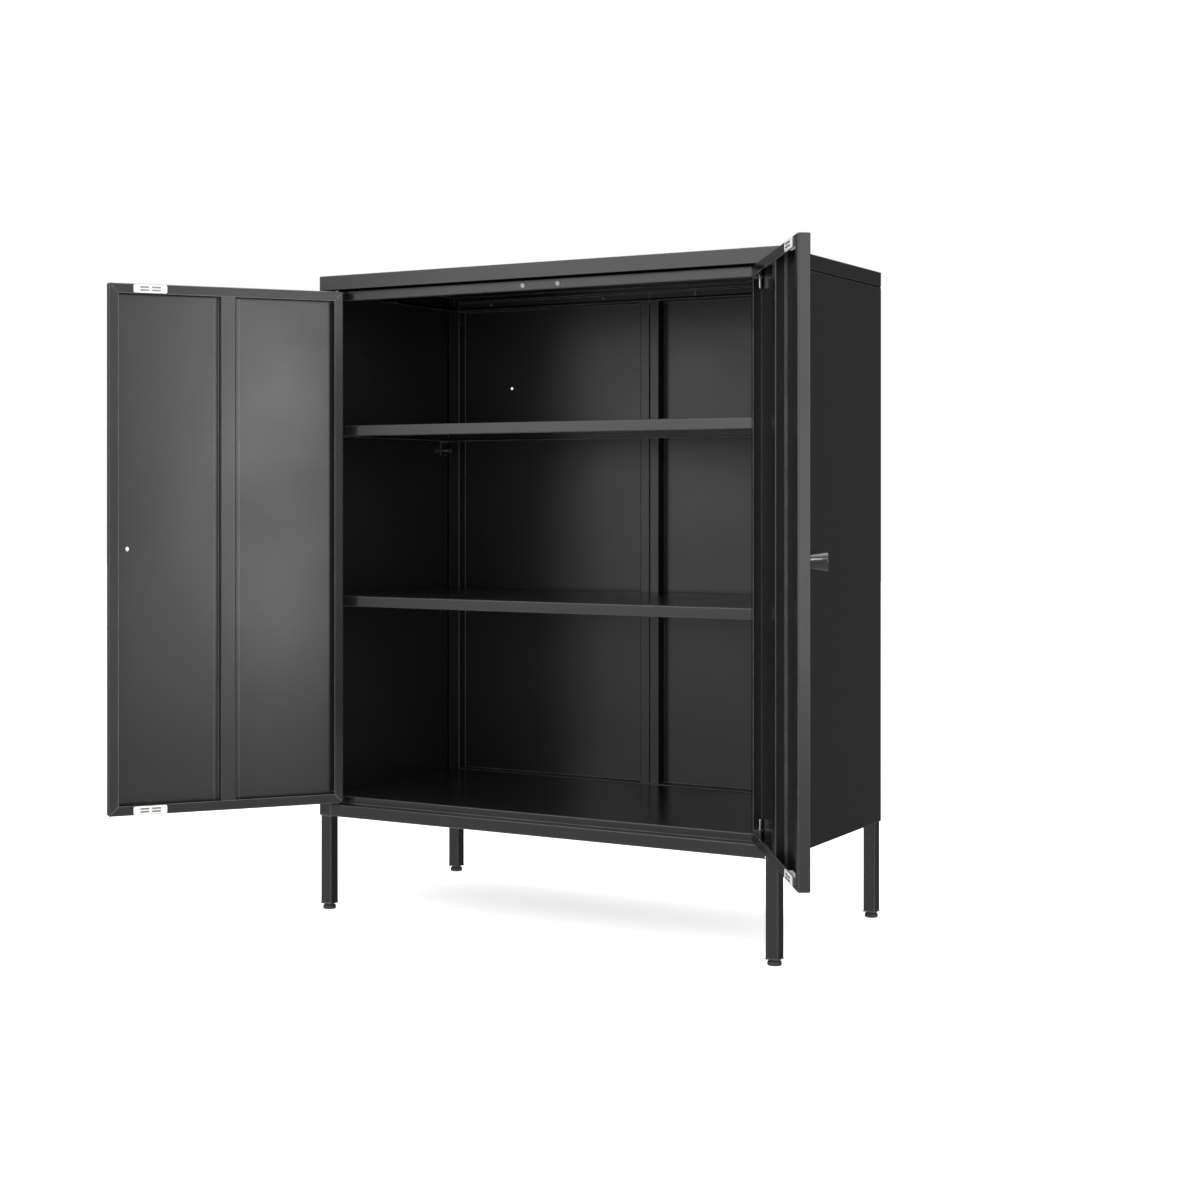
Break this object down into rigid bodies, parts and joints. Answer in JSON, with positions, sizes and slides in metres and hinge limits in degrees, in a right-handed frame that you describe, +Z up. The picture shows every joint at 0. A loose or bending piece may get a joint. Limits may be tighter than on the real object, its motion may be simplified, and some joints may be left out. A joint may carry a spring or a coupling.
{
  "type": "buffet cabinet",
  "caption": "Black folded steel buffet cabinet on tube legs, with pin-hinged swing doors, magnetic catches, turned knobs and shelves on brackets.",
  "frame": {"origin": "on the floor, under the middle of the carcass", "axes": "+X to the right as seen from the front, +Y to the back, +Z up"},
  "size_m": [1.1853, 0.7078, 1.015],
  "materials": {
    "powder_coat": "satin black powder coat with a fine orange peel",
    "door_powder_coat": "satin black powder coat with a fine orange peel, a little glossier",
    "zinc": "bright zinc plate",
    "gunmetal": "dark gunmetal, satin",
    "white_plastic": "white moulded",
    "nylon": "black nylon",
    "clear_rubber": "pale soft polyurethane",
    "black_plastic": "black moulded, slightly worn"
  },
  "bodies": {
    "carcass": {"back_joint_screws": "zinc", "back_panel_screws": "powder_coat", "bottom_panel": "powder_coat", "bottom_panel_screws": "powder_coat", "door_bumpers": "clear_rubber", "front_left_leg": "powder_coat", "front_left_leg_cap": "black_plastic", "front_right_leg": "powder_coat", "front_right_leg_cap": "black_plastic", "left_back_panel": "powder_coat", "left_bottom_bush": "nylon", "left_bracket_nuts": "zinc", "left_shelf_brackets": "powder_coat", "left_side_panel": "powder_coat", "left_top_bush": "nylon", "leg_bolts": "zinc", "rear_left_leg": "powder_coat", "rear_left_leg_cap": "black_plastic", "rear_right_leg": "powder_coat", "rear_right_leg_cap": "black_plastic", "right_back_panel": "powder_coat", "right_bottom_bush": "nylon", "right_bracket_nuts": "zinc", "right_shelf_brackets": "powder_coat", "right_side_panel": "powder_coat", "right_top_bush": "nylon", "top_panel": "powder_coat", "top_panel_screws": "powder_coat"},
    "left_door": {"left_door_bottom_catch": "white_plastic", "left_door_bottom_hinge_bracket": "zinc", "left_door_bottom_hinge_pin": "zinc", "left_door_catch_poles": "zinc", "left_door_knob": "gunmetal", "left_door_knob_screw": "zinc", "left_door_panel": "door_powder_coat", "left_door_stiffener": "door_powder_coat", "left_door_top_catch": "white_plastic", "left_door_top_hinge_bracket": "zinc", "left_door_top_hinge_pin": "zinc"},
    "right_door": {"right_door_bottom_catch": "white_plastic", "right_door_bottom_hinge_bracket": "zinc", "right_door_bottom_hinge_pin": "zinc", "right_door_catch_poles": "zinc", "right_door_knob": "gunmetal", "right_door_knob_screw": "zinc", "right_door_panel": "door_powder_coat", "right_door_stiffener": "door_powder_coat", "right_door_top_catch": "white_plastic", "right_door_top_hinge_bracket": "zinc", "right_door_top_hinge_pin": "zinc"},
    "upper_shelf": {"upper_shelf": "powder_coat"},
    "lower_shelf": {"lower_shelf": "powder_coat"},
    "front_left_foot": {"front_left_foot": "black_plastic"},
    "front_right_foot": {"front_right_foot": "black_plastic"},
    "rear_left_foot": {"rear_left_foot": "black_plastic"},
    "rear_right_foot": {"rear_right_foot": "black_plastic"}
  },
  "joints": [
    {"name": "left_door_hinge", "type": "hinge", "parent": "carcass", "child": "left_door", "pos_m": [-0.368, -0.195, 0.58], "axis": [0, 0, 1], "range_deg": [-3, 127]},
    {"name": "right_door_hinge", "type": "hinge", "parent": "carcass", "child": "right_door", "pos_m": [0.368, -0.195, 0.58], "axis": [0, 0, 1], "range_deg": [-123, 7]},
    {"name": "upper_shelf_lift", "type": "slide", "parent": "carcass", "child": "upper_shelf", "axis": [0, 0, 1], "range_m": [0, 0.03]},
    {"name": "lower_shelf_lift", "type": "slide", "parent": "carcass", "child": "lower_shelf", "axis": [0, 0, 1], "range_m": [0, 0.03]},
    {"name": "front_left_foot_screw", "type": "slide", "parent": "carcass", "child": "front_left_foot", "axis": [0, 0, -1], "range_m": [0, 0.012]},
    {"name": "front_right_foot_screw", "type": "slide", "parent": "carcass", "child": "front_right_foot", "axis": [0, 0, -1], "range_m": [0, 0.012]},
    {"name": "rear_left_foot_screw", "type": "slide", "parent": "carcass", "child": "rear_left_foot", "axis": [0, 0, -1], "range_m": [0, 0.012]},
    {"name": "rear_right_foot_screw", "type": "slide", "parent": "carcass", "child": "rear_right_foot", "axis": [0, 0, -1], "range_m": [0, 0.012]}
  ]
}
